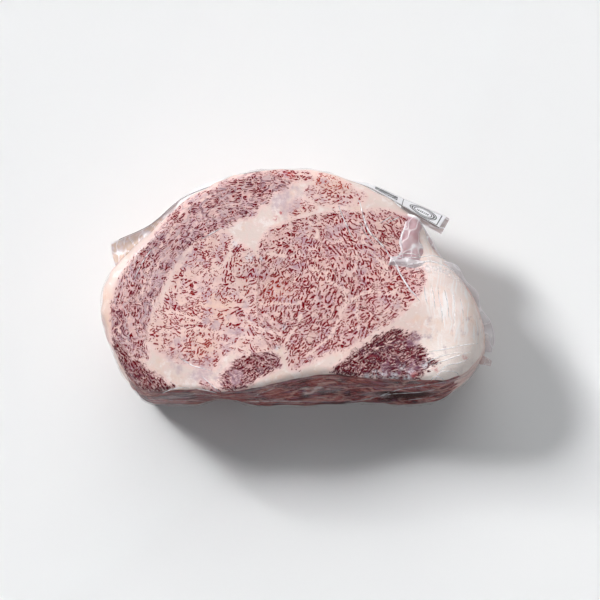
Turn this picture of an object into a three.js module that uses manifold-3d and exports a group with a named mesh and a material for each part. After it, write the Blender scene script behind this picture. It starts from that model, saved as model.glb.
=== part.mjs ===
// A boneless raw beef rib roast, vacuum packed in a clear bag and resting on one of its two cut faces.
// Millimetres, +Z up. The upper cut face looks up, the fat tail points to +X and the rib side to -Y.
// The bag is tight round the meat, so bag and contents are one solid, with the loose film as thin fins on it.
// A long paper label lies along the fat side at +Y, in a shallow pocket that it presses into the bag.
import * as THREE from "three";
import Module from "manifold-3d";
import { mergeVertices } from "three/addons/utils/BufferGeometryUtils.js";

// ---------------------------------------------------------------- driving dimensions

const ROAST_HEIGHT = 110; // between the two cut faces
const FOOT_HEIGHT = 13; // rounding of the lower edge
const FOOT_INSET = 9;
const WALL_BULGE = 2.5; // the soft side swells between the two edges
const LUMP_DEPTH = 0.9; // slow unevenness of the side
const FACE_RELIEF = 0.8; // muscles stand this far above the fat seams between them
const FILM_THICKNESS = 1.2; // two layers of film with the air and juice between them
const LABEL_THICKNESS = 0.8;
const LABEL_CLEARANCE = 0.45; // between the label and the pocket that it lies in

const STEPS_PER_STATION = 4;
const FOOT_STEPS = 4;
const WALL_STEPS = 9;
const ROLL_STEPS = 5;
const FACE_STEPS = 7;

// The outline, from the tip of the fat tail round over the fat side, the left end and the rib side.
// face: edge of the upper cut face. base: foot of the side. roll: how far in and down the upper edge rounds.
const STATIONS = [
  { face: [143, -40], base: [147, -38], roll: [30, 24] }, // tip of the fat tail
  { face: [141, -20], base: [146, -18], roll: [30, 24] },
  { face: [133, 0], base: [139, 3], roll: [28, 22] },
  { face: [119, 18], base: [125, 21], roll: [22, 17] },
  { face: [104, 33], base: [110, 36], roll: [15, 13] }, // corner under the film's ear
  { face: [94, 51], base: [99, 55], roll: [10, 10] },
  { face: [68, 71], base: [73, 74], roll: [8, 8] },
  { face: [39, 84], base: [43, 86], roll: [7, 8] },
  { face: [17, 90], base: [19, 91], roll: [7, 8] }, // crown of the fat side
  { face: [-5, 91], base: [-5, 91], roll: [7, 8] },
  { face: [-31, 89], base: [-33, 89], roll: [7, 8] },
  { face: [-57, 80], base: [-60, 81], roll: [7, 8] },
  { face: [-79, 68], base: [-83, 68], roll: [8, 9] },
  { face: [-104, 45], base: [-107, 46], roll: [9, 10] },
  { face: [-126, 24], base: [-129, 24], roll: [10, 11] },
  { face: [-138, 5], base: [-140, 5], roll: [10, 11] },
  { face: [-140, -14], base: [-142, -14], roll: [10, 12] }, // left end
  { face: [-135, -35], base: [-137, -36], roll: [11, 13] },
  { face: [-126, -55], base: [-128, -57], roll: [12, 14] },
  { face: [-115, -69], base: [-120, -71], roll: [13, 15] },
  { face: [-105, -75], base: [-111, -79], roll: [12, 13] }, // lower left corner
  { face: [-90, -74], base: [-97, -80], roll: [9, 8] },
  { face: [-67, -73], base: [-75, -80], roll: [6, 6] },
  { face: [-51, -75], base: [-52, -74], roll: [6, 6] }, // notch where the rib side folds in
  { face: [-34, -73], base: [-34, -80], roll: [6, 6] },
  { face: [-12, -69], base: [-14, -81], roll: [7, 6] },
  { face: [9, -64], base: [10, -81], roll: [8, 7] },
  { face: [31, -62], base: [33, -80], roll: [8, 7] },
  { face: [53, -65], base: [57, -79], roll: [8, 7] },
  { face: [78, -66], base: [85, -81], roll: [9, 8] },
  { face: [100, -67], base: [109, -79], roll: [13, 11] },
  { face: [118, -65], base: [125, -71], roll: [19, 16] }, // lower right corner
  { face: [134, -56], base: [138, -55], roll: [26, 21] },
];

// Hollow of the rib side under the fat tail, where the film bridges a gap in the meat.
const RIB_HOLLOW = { x: 84, z: 42, halfLength: 24, halfHeight: 16, depth: 5 };

// Loose film, as rows of points across each strip, from one end of the strip to the other.
const CORNER_WEB = [ // between the free left end of the label and the fat
  [[-83.3, 69.6, 93], [-86, 63, 97], [-90, 56, 98]],
  [[-105.4, 50.5, 94], [-105, 46, 94], [-103, 38, 98]],
  [[-117, 44.5, 94], [-117, 37, 91], [-114, 27, 98]],
  [[-128.4, 39.4, 94], [-128, 31, 90], [-124, 17, 97]],
  [[-134.5, 36.5, 93], [-134, 28, 90], [-129, 14, 95]],
];
const EAR = [ // fold of film that stands over the upper right corner
  [[85, 57, 106], [92, 54, 108], [97, 50, 94]],
  [[81, 44, 111.5], [92, 42, 109], [104, 39, 93]],
  [[78, 35, 112.5], [92, 34, 109.5], [107, 33, 92]],
  [[79, 28, 112], [95, 27, 109], [111, 27, 91]],
  [[73, 21, 110], [94, 21, 108], [119, 20, 89]],
];
const SEAM_FIN = [ // flattened edge of the bag, from the pleat on the face round the fat tail
  [[70, 18, 108.5], [71, 21, 111], [72, 25, 108.5]],
  [[86, 16, 108], [87, 20, 111.5], [88, 25, 108]],
  [[101, 13, 102], [103, 18, 106.5], [105, 23, 104]],
  [[113, 10, 96], [117, 15, 99], [121, 20, 98]],
  [[122, 4, 90], [127, 9, 92], [132, 13, 91]],
  [[129, -4, 83], [136, 1, 86], [143, 4, 86]],
  [[134, -14, 78], [141, -10, 81], [146, -8, 80]],
  [[138, -25, 75], [144, -23, 77], [149, -20, 76]],
  [[141, -33, 73], [147, -33, 75], [152, -33, 73]],
  [[141, -42, 71], [147, -43, 72], [150, -43, 71]],
];
const TUFT = [ // puckered end of the seam below the fat tail
  [[136, -42, 72], [136, -52, 70]],
  [[144, -45, 70], [143, -52, 68]],
  [[151, -49, 67], [150, -53, 66]],
];
const STEPS_PER_ROW = 4;

// The label's upper and lower edge, from its free left end to its free right end.
const LABEL = [
  [[-128, 39, 97], [-131, 42.5, 72]],
  [[-105, 50, 97], [-108, 54, 72]],
  [[-83, 69, 96], [-85, 74, 70]],
  [[-61, 79.5, 93], [-63, 87, 67]],
  [[-32, 90.5, 90], [-33, 93.5, 65]],
  [[-2, 92.8, 87], [-2, 93.8, 62]],
  [[18, 91.5, 87], [19, 92.8, 62]],
  [[39, 85, 91], [40, 89, 66]],
  [[54, 79.7, 94], [56, 86, 71]],
  [[65, 73.7, 96], [67, 82, 73]],
  [[80, 64.8, 97.5], [83, 74, 75]],
  [[95, 55.7, 98], [99, 66.5, 77]],
  [[108.6, 47.5, 98], [116, 59, 78]],
];

// Flat hem of the bag behind the label's right end, from inside the wall to just past the label.
const HEM = { firstRow: 8, above: 5.5, below: -7, past: 1.5, behind: 1.6 };
const POCKET = { firstRow: 0, above: LABEL_CLEARANCE, below: LABEL_CLEARANCE, past: LABEL_CLEARANCE, behind: 0 };

// ---------------------------------------------------------------- the roast in its bag

const point = ([x, y, z = 0]) => new THREE.Vector3(x, y, z);
const closedCurve = (points) => new THREE.CatmullRomCurve3(points.map(point), true, "catmullrom", 0.5);
const openCurve = (points) => new THREE.CatmullRomCurve3(points.map(point), false, "catmullrom", 0.5);

const faceEdge = closedCurve(STATIONS.map((s) => s.face));
const baseEdge = closedCurve(STATIONS.map((s) => s.base));
const edgeRoll = closedCurve(STATIONS.map((s) => s.roll));

// Slow lumps of the soft side, different at each height.
function lump(turn, height) {
  const angle = turn * 2 * Math.PI;
  return LUMP_DEPTH * (Math.sin(7 * angle + height / 14) + 0.7 * Math.sin(13 * angle - height / 9));
}

// How far the rib side is drawn in at a point of the wall.
function ribHollow(p, height) {
  if (p.y > 0) return 0;
  const along = (p.x - RIB_HOLLOW.x) / RIB_HOLLOW.halfLength;
  const up = (height - RIB_HOLLOW.z) / RIB_HOLLOW.halfHeight;
  return RIB_HOLLOW.depth * Math.exp(-along * along - up * up);
}

// How far the cut face stands above or below its mean height.
function faceRelief(x, y) {
  return FACE_RELIEF * (Math.sin(x / 23 + y / 41) * Math.cos(y / 19 - x / 57) + 0.5 * Math.sin(x / 11 - y / 13));
}

// The side at a turn of 0 to 1 round the roast and a rise of 0 to 1 from foot to rolled edge.
function wallPoint(turn, rise, foot, top) {
  const height = foot + (top - foot) * rise;
  const p = baseEdge.getPoint(turn).lerp(faceEdge.getPoint(turn), rise * rise * (3 - 2 * rise));
  const swell = (WALL_BULGE + lump(turn, height)) * Math.sin(Math.PI * rise);
  p.setLength(p.length() + swell - ribHollow(p, height));
  p.z = height;
  return p;
}

// One line of points from the middle of the lower face, up the side, to the middle of the upper face.
function profile(turn) {
  const { x: inset, y: drop } = edgeRoll.getPoint(turn);
  const top = ROAST_HEIGHT - drop;
  const foot = wallPoint(turn, 0, FOOT_HEIGHT, top);
  const shoulder = wallPoint(turn, 1, FOOT_HEIGHT, top);
  const line = [];
  for (let i = 0; i < FOOT_STEPS; i++) {
    const a = (i / FOOT_STEPS) * (Math.PI / 2);
    const p = foot.clone().setZ(0);
    p.setLength(p.length() - FOOT_INSET * (1 - Math.sin(a)));
    line.push(p.setZ(FOOT_HEIGHT * (1 - Math.cos(a))));
  }
  for (let i = 0; i <= WALL_STEPS; i++) line.push(wallPoint(turn, i / WALL_STEPS, FOOT_HEIGHT, top));
  const flat = shoulder.clone().setZ(0);
  const rim = flat.length() - inset;
  for (let i = 1; i <= ROLL_STEPS; i++) {
    const a = (i / ROLL_STEPS) * (Math.PI / 2);
    const p = flat.clone().setLength(rim + inset * Math.cos(a));
    const relief = faceRelief(p.x, p.y) * Math.sin(a);
    line.push(p.setZ(top + drop * Math.sin(a) + relief));
  }
  for (let i = 1; i < FACE_STEPS; i++) {
    const p = flat.clone().setLength(rim * (1 - i / FACE_STEPS));
    line.push(p.setZ(ROAST_HEIGHT + faceRelief(p.x, p.y)));
  }
  return line;
}

// A closed skin over the profiles, with a flat fan below and a fan above.
function roastGeometry() {
  const turns = STATIONS.length * STEPS_PER_STATION;
  const lines = Array.from({ length: turns }, (_, i) => profile(i / turns));
  const rings = lines[0].length;
  const vertices = lines.flat().flatMap((p) => p.toArray());
  const low = lines.length * rings;
  const high = low + 1;
  vertices.push(0, 0, 0, 0, 0, ROAST_HEIGHT + faceRelief(0, 0));
  const faces = [];
  for (let i = 0; i < turns; i++) {
    const here = i * rings;
    const next = ((i + 1) % turns) * rings;
    faces.push(low, next, here, high, here + rings - 1, next + rings - 1);
    for (let j = 0; j < rings - 1; j++) {
      faces.push(here + j, next + j, next + j + 1, here + j, next + j + 1, here + j + 1);
    }
  }
  return indexed(vertices, faces);
}

// ---------------------------------------------------------------- film and label

// A sheet of even thickness through rows of points, closed round its edges.
function sheetGeometry(rows, thickness) {
  const columns = rows[0].map((_, c) => openCurve(rows.map((row) => row[c])));
  const steps = (rows.length - 1) * STEPS_PER_ROW;
  const grid = Array.from({ length: steps + 1 }, (_, i) => columns.map((curve) => curve.getPoint(i / steps)));
  const across = columns.length;
  const normal = (i, j) => {
    const along = grid[Math.min(i + 1, steps)][j].clone().sub(grid[Math.max(i - 1, 0)][j]);
    const side = grid[i][Math.min(j + 1, across - 1)].clone().sub(grid[i][Math.max(j - 1, 0)]);
    return along.cross(side).normalize();
  };
  const vertices = [];
  for (const sign of [0.5, -0.5]) {
    grid.forEach((row, i) =>
      row.forEach((p, j) => vertices.push(...p.clone().addScaledVector(normal(i, j), sign * thickness).toArray())),
    );
  }
  const at = (layer, i, j) => (layer * (steps + 1) + i) * across + j;
  const faces = [];
  const quad = (a, b, c, d) => faces.push(a, b, c, a, c, d);
  for (let i = 0; i < steps; i++) {
    for (let j = 0; j < across - 1; j++) {
      quad(at(0, i, j), at(0, i + 1, j), at(0, i + 1, j + 1), at(0, i, j + 1));
      quad(at(1, i, j), at(1, i, j + 1), at(1, i + 1, j + 1), at(1, i + 1, j));
    }
    quad(at(0, i, 0), at(1, i, 0), at(1, i + 1, 0), at(0, i + 1, 0));
    quad(at(0, i + 1, across - 1), at(1, i + 1, across - 1), at(1, i, across - 1), at(0, i, across - 1));
  }
  for (let j = 0; j < across - 1; j++) {
    quad(at(0, 0, j), at(0, 0, j + 1), at(1, 0, j + 1), at(1, 0, j));
    quad(at(0, steps, j + 1), at(0, steps, j), at(1, steps, j), at(1, steps, j + 1));
  }
  return indexed(vertices, faces);
}

// The label's rows from one of them on, reaching further above, below and past its ends, and lying behind it.
function labelRows({ firstRow, above, below, past, behind }) {
  const rows = LABEL.slice(firstRow).map((row) => row.map(point));
  const last = rows.length - 1;
  return rows.map(([upper, lower], i) => {
    const across = lower.clone().sub(upper).normalize();
    const along = rows[Math.min(i + 1, last)][0].clone().sub(rows[Math.max(i - 1, 0)][0]).normalize();
    const shift = across.clone().cross(along).normalize().multiplyScalar(behind);
    if (i === 0) shift.addScaledVector(along, -past);
    if (i === last) shift.addScaledVector(along, past);
    const edges = [upper.clone().addScaledVector(across, -above), lower.clone().addScaledVector(across, below)];
    return edges.map((edge) => edge.add(shift).toArray());
  });
}

function indexed(vertices, faces) {
  const geometry = new THREE.BufferGeometry();
  geometry.setAttribute("position", new THREE.Float32BufferAttribute(vertices, 3));
  geometry.setIndex(faces);
  return geometry;
}

// ---------------------------------------------------------------- joining and cutting

const wasm = await Module();
wasm.setup();

function toSolid(geometry) {
  const merged = mergeVertices(geometry, 1e-4);
  return new wasm.Manifold(
    new wasm.Mesh({
      numProp: 3,
      vertProperties: merged.attributes.position.array,
      triVerts: new Uint32Array(merged.index.array),
    }),
  );
}

function toGeometry(solid) {
  const mesh = solid.getMesh();
  return indexed(Array.from(mesh.vertProperties), Array.from(mesh.triVerts));
}

const strips = [CORNER_WEB, EAR, SEAM_FIN, TUFT, labelRows(HEM)];
const film = strips.map((rows) => toSolid(sheetGeometry(rows, FILM_THICKNESS)));
const pocket = toSolid(sheetGeometry(labelRows(POCKET), LABEL_THICKNESS + 2 * LABEL_CLEARANCE));
const bagged = film.reduce((joined, strip) => joined.add(strip), toSolid(roastGeometry())).subtract(pocket);

// ---------------------------------------------------------------- the part

const roast = new THREE.Mesh(
  toGeometry(bagged),
  new THREE.MeshStandardMaterial({ color: 0xb9797b, roughness: 0.3, metalness: 0 }),
);
roast.name = "bagged_rib_roast";

const label = new THREE.Mesh(
  sheetGeometry(LABEL, LABEL_THICKNESS),
  new THREE.MeshStandardMaterial({ color: 0xeeebea, roughness: 0.6, metalness: 0 }),
);
label.name = "paper_label";

const part = new THREE.Group();
part.add(roast, label);

// The origin is the middle of the base under the whole part.
const box = new THREE.Box3().setFromObject(part);
part.position.set(-(box.min.x + box.max.x) / 2, -(box.min.y + box.max.y) / 2, -box.min.z);

export default part;
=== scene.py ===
# %% [markdown]
# # A raw beef rib roast in its bag
#
# A boneless rib roast lies on one of its two cut faces, vacuum packed in clear film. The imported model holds
# its true size in two solids: the bagged meat and a long paper label. This lesson dresses both, with meat,
# tight and loose film and printed paper, and shows them from almost straight above.

# %% Open the frame
import math

import bpy
import numpy as np
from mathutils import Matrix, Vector


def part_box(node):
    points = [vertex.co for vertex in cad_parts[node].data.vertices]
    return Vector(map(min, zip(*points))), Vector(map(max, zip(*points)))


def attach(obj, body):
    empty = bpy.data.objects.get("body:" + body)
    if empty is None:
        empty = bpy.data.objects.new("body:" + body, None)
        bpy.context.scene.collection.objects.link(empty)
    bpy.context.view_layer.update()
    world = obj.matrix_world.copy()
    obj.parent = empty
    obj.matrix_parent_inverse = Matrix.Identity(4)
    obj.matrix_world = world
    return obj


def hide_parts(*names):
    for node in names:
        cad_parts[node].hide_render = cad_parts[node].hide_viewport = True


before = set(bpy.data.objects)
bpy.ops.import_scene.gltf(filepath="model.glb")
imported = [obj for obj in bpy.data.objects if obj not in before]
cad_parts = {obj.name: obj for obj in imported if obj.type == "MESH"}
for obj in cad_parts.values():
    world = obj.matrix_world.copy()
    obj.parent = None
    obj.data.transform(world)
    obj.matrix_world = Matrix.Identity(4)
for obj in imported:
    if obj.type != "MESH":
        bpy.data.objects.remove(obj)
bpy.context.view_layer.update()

MM = 0.001

# %% [markdown]
# ## Curves through stations
#
# The meat's outline, the label's edges and the loose film are smooth lines through a few stations. A uniform
# Catmull-Rom curve passes through every one, and it needs no handles, as a Bezier curve would.


# %% Catmull-Rom curves
def curve_at(stations, turn, closed):
    """Points of the curve at each turn from 0 to 1."""
    stations = np.asarray(stations, float)
    count = len(stations)
    place = np.asarray(turn, float) * (count if closed else count - 1)
    if not closed:
        place = np.clip(place, 0, count - 1 - 1e-9)
        first = 2 * stations[0] - stations[1]
        final = 2 * stations[-1] - stations[-2]
        stations = np.vstack([first, stations, final])
    start = np.floor(place).astype(int)
    w = (place - start)[..., None]
    if closed:
        a, b, c, d = (stations[(start + k) % count] for k in (-1, 0, 1, 2))
    else:
        a, b, c, d = (stations[start + k] for k in (0, 1, 2, 3))
    return b + 0.5 * w * (c - a + w * (2 * a - 5 * b + 4 * c - d + w * (3 * (b - c) + d - a)))


def smooth(value, low, high):
    """A soft step from 0 at low to 1 at high."""
    w = np.clip((value - low) / (high - low), 0, 1)
    return w * w * (3 - 2 * w)


# %% [markdown]
# ## Waves for organic unevenness
#
# Meat is never even. A sum of sine waves in odd directions gives a cheap unevenness for shapes, and the same
# one each time: the seed only picks the directions.


# %% Unevenness
def waves(points, length, seed, count=7):
    """About -1 to 1 everywhere, with bumps of roughly the given length."""
    rng = np.random.default_rng(seed)
    total = np.zeros(points.shape[:-1])
    for _ in range(count):
        direction = rng.normal(size=points.shape[-1])
        direction *= 2 * math.pi / (length * rng.uniform(0.7, 1.5) * np.linalg.norm(direction))
        total += np.sin(points @ direction + rng.uniform(0, 2 * math.pi))
    return total / math.sqrt(count)


# %% [markdown]
# ## The outline of the roast
#
# The roast is a loft between the edge of the upper cut face and the foot of its side. Each station says
# where both lie and how the upper edge rounds over. They run from the fat tail, over the fat side, round the
# left end and back along the rib side.

# %% Stations of the loft, in millimetres
HEIGHT = 110
FOOT_HEIGHT, FOOT_INSET = 13, 9
BULGE, LUMP = 2.5, 0.9
RELIEF = 0.8
STATIONS = [
    # face x, y, base x, y, roll in, down
    (143, -40, 147, -38, 30, 24),
    (141, -20, 146, -18, 30, 24),
    (133, 0, 139, 3, 28, 22),
    (119, 18, 125, 21, 22, 17),
    (104, 33, 110, 36, 15, 13),
    (94, 51, 99, 55, 10, 10),
    (68, 71, 73, 74, 8, 8),
    (39, 84, 43, 86, 7, 8),
    (17, 90, 19, 91, 7, 8),
    (-5, 91, -5, 91, 7, 8),
    (-31, 89, -33, 89, 7, 8),
    (-57, 80, -60, 81, 7, 8),
    (-79, 68, -83, 68, 8, 9),
    (-104, 45, -107, 46, 9, 10),
    (-126, 24, -129, 24, 10, 11),
    (-138, 5, -140, 5, 10, 11),
    (-140, -14, -142, -14, 10, 12),
    (-135, -35, -137, -36, 11, 13),
    (-126, -55, -128, -57, 12, 14),
    (-115, -69, -120, -71, 13, 15),
    (-105, -75, -111, -79, 12, 13),
    (-90, -74, -97, -80, 9, 8),
    (-67, -73, -75, -80, 6, 6),
    (-51, -75, -52, -74, 6, 6),
    (-34, -73, -34, -80, 6, 6),
    (-12, -69, -14, -81, 7, 6),
    (9, -64, 10, -81, 8, 7),
    (31, -62, 33, -80, 8, 7),
    (53, -65, 57, -79, 8, 7),
    (78, -66, 85, -81, 9, 8),
    (100, -67, 109, -79, 13, 11),
    (118, -65, 125, -71, 19, 16),
    (134, -56, 138, -55, 26, 21),
]
HOLLOW = {"x": 84, "z": 42, "half_length": 24, "half_height": 16, "depth": 5}
print(len(STATIONS), "stations round the roast")


# %% The loft
def face_relief(x, y):
    """How far the cut face stands above or below its mean height."""
    slow = np.sin(x / 23 + y / 41) * np.cos(y / 19 - x / 57)
    return RELIEF * (slow + 0.5 * np.sin(x / 11 - y / 13))


def hollow_at(x, y, z):
    """0 to 1, strongest in the middle of the hollow under the fat tail."""
    along = (x - HOLLOW["x"]) / HOLLOW["half_length"]
    up = (z - HOLLOW["z"]) / HOLLOW["half_height"]
    return np.where(y < 0, np.exp(-along**2 - up**2), 0)


def set_length(points, length):
    return points * (length / np.linalg.norm(points, axis=-1))[..., None]


def wall(turn, rise, top, hollow_depth):
    """The side at a rise of 0 to 1 from the foot to the rolled edge."""
    stations = curve_at(STATIONS, turn, True)
    face, base = stations[..., 0:2], stations[..., 2:4]
    z = FOOT_HEIGHT + (top - FOOT_HEIGHT) * rise
    flat = base + (face - base) * (rise * rise * (3 - 2 * rise))[..., None]
    angle = turn * 2 * math.pi
    lump = LUMP * (np.sin(7 * angle + z / 14) + 0.7 * np.sin(13 * angle - z / 9))
    swell = (BULGE + lump) * np.sin(math.pi * rise)
    swell = swell - hollow_depth * hollow_at(flat[..., 0], flat[..., 1], z)
    flat = set_length(flat, np.linalg.norm(flat, axis=-1) + swell)
    return np.concatenate([flat, z[..., None]], axis=-1)


def loft(turns, under, foot, side, roll, face, hollow_depth):
    """A grid of points from the middle of the lower face, up the side, to near the middle of the upper."""
    turn = np.arange(turns) / turns
    inset, drop = curve_at(STATIONS, turn, True)[:, 4:6].T
    top = HEIGHT - drop
    low = wall(turn, np.zeros(turns), top, hollow_depth)[:, :2]
    high = wall(turn, np.ones(turns), top, hollow_depth)[:, :2]
    rings = []
    for i in range(1, under):
        reach = (np.linalg.norm(low, axis=1) - FOOT_INSET) * i / under
        rings.append(np.c_[set_length(low, reach), np.zeros(turns)])
    for i in range(foot):
        a = i / foot * math.pi / 2
        reach = np.linalg.norm(low, axis=1) - FOOT_INSET * (1 - math.sin(a))
        rings.append(np.c_[set_length(low, reach), np.full(turns, FOOT_HEIGHT * (1 - math.cos(a)))])
    for i in range(side + 1):
        rings.append(wall(turn, np.full(turns, i / side), top, hollow_depth))
    rim = np.linalg.norm(high, axis=1) - inset
    for i in range(1, roll + 1):
        a = i / roll * math.pi / 2
        flat = set_length(high, rim + inset * math.cos(a))
        rings.append(np.c_[flat, top + drop * math.sin(a) + face_relief(*flat.T) * math.sin(a)])
    for i in range(1, face):
        flat = set_length(high, rim * (1 - i / face))
        rings.append(np.c_[flat, HEIGHT + face_relief(*flat.T)])
    return np.stack(rings, axis=1)


def grid_normals(grid):
    """Outward normals of the loft's grid, one for each point."""
    round_it = np.roll(grid, -1, axis=0) - np.roll(grid, 1, axis=0)
    up_it = np.empty_like(grid)
    up_it[:, 1:-1] = grid[:, 2:] - grid[:, :-2]
    up_it[:, 0] = grid[:, 1] - grid[:, 0]
    up_it[:, -1] = grid[:, -1] - grid[:, -2]
    normals = np.cross(round_it, up_it)
    return normals / np.linalg.norm(normals, axis=-1)[..., None]


# %% [markdown]
# ## From a grid to a Blender mesh
#
# The loft is a grid wrapped round the roast, so its faces are quads, and a fan of triangles closes each cut
# face. What we measure at the points is stored as attributes, for the material to read.


# %% Mesh helpers
def new_object(name, points, faces):
    mesh = bpy.data.meshes.new(name)
    mesh.from_pydata(points.tolist(), [], faces)
    mesh.validate()
    mesh.polygons.foreach_set("use_smooth", [True] * len(mesh.polygons))
    piece = bpy.data.objects.new(name, mesh)
    bpy.context.scene.collection.objects.link(piece)
    return piece


def put_attribute(piece, name, values):
    kind = "FLOAT_VECTOR" if values.ndim == 2 else "FLOAT"
    attribute = piece.data.attributes.new(name, kind, "POINT")
    key = "vector" if values.ndim == 2 else "value"
    attribute.data.foreach_set(key, np.ascontiguousarray(values, np.float32).ravel())


def wrapped_faces(turns, rings):
    """Quads of a grid that closes on itself, and a fan at both ends."""
    low, high = turns * rings, turns * rings + 1
    faces = []
    for i in range(turns):
        here, there = i * rings, (i + 1) % turns * rings
        faces.append((low, there, here))
        faces.append((high, here + rings - 1, there + rings - 1))
        faces.extend((here + j, there + j, there + j + 1, here + j + 1) for j in range(rings - 1))
    return faces


def with_middles(grid):
    """The grid's points in a row, with the middle of the lower and the upper face at the end."""
    low = np.array([0, 0, grid[0, 0, 2]])
    high = np.array([0, 0, grid[:, -1, 2].mean()])
    return np.vstack([grid.reshape(-1, 3), low, high])


# %% [markdown]
# ## The label's place
#
# The label follows the fat side, and its two edges are given station by station. Its solid in the frame has
# the same stations, so the distance between their two boxes tells where the loft's own zero lies.

# %% Label stations and the shift
LABEL = [
    # upper edge x, y, z, lower edge x, y, z
    (-128, 39, 97, -131, 42.5, 72),
    (-105, 50, 97, -108, 54, 72),
    (-83, 69, 96, -85, 74, 70),
    (-61, 79.5, 93, -63, 87, 67),
    (-32, 90.5, 90, -33, 93.5, 65),
    (-2, 92.8, 87, -2, 93.8, 62),
    (18, 91.5, 87, 19, 92.8, 62),
    (39, 85, 91, 40, 89, 66),
    (54, 79.7, 94, 56, 86, 71),
    (65, 73.7, 96, 67, 82, 73),
    (80, 64.8, 97.5, 83, 74, 75),
    (95, 55.7, 98, 99, 66.5, 77),
    (108.6, 47.5, 98, 116, 59, 78),
]
label_low, label_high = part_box("paper_label")
label_points = curve_at(LABEL, np.linspace(0, 1, 400), False).reshape(-1, 3)
box_middle = (np.array(label_low) + np.array(label_high)) / 2 / MM
shift = box_middle - (label_points.min(0) + label_points.max(0)) / 2
SHIFT = np.array([shift[0], shift[1], 0])
print("the loft's zero lies at", SHIFT.round(2), "mm from the middle of the base")


def to_frame(points):
    """Loft millimetres to metres in the shared frame."""
    return (points + SHIFT) * MM


# %% [markdown]
# ## The camera
#
# The roast is seen with a long lens, six degrees off the vertical. Distance and elevation from a point on
# the cut face are easier to reason about than a place.

# %% Camera
CAMERA_ELEVATION = math.radians(84)
CAMERA_DISTANCE = 1.05
SENSOR = 36
FRAME_WIDTH = 0.4362
aim = Vector(to_frame(np.array([5.8, -7.3, HEIGHT])))
back = Vector((0, -math.cos(CAMERA_ELEVATION), math.sin(CAMERA_ELEVATION)))
camera_data = bpy.data.cameras.new("camera")
camera_data.sensor_width = SENSOR
camera_data.lens = SENSOR * CAMERA_DISTANCE / FRAME_WIDTH
camera = bpy.data.objects.new("camera", camera_data)
camera.location = aim + back * CAMERA_DISTANCE
camera.rotation_euler = (math.pi / 2 - CAMERA_ELEVATION, 0, 0)
bpy.context.scene.collection.objects.link(camera)
bpy.context.scene.camera = camera
print("lens", round(camera_data.lens, 1), "mm")

# %% [markdown]
# ## The muscles of the cut face
#
# A slice through the rib shows several muscles, each in its envelope of fat. Such shapes can't come from
# noise, so each muscle gets an outline, and the looks that its red flecks need.

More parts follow.
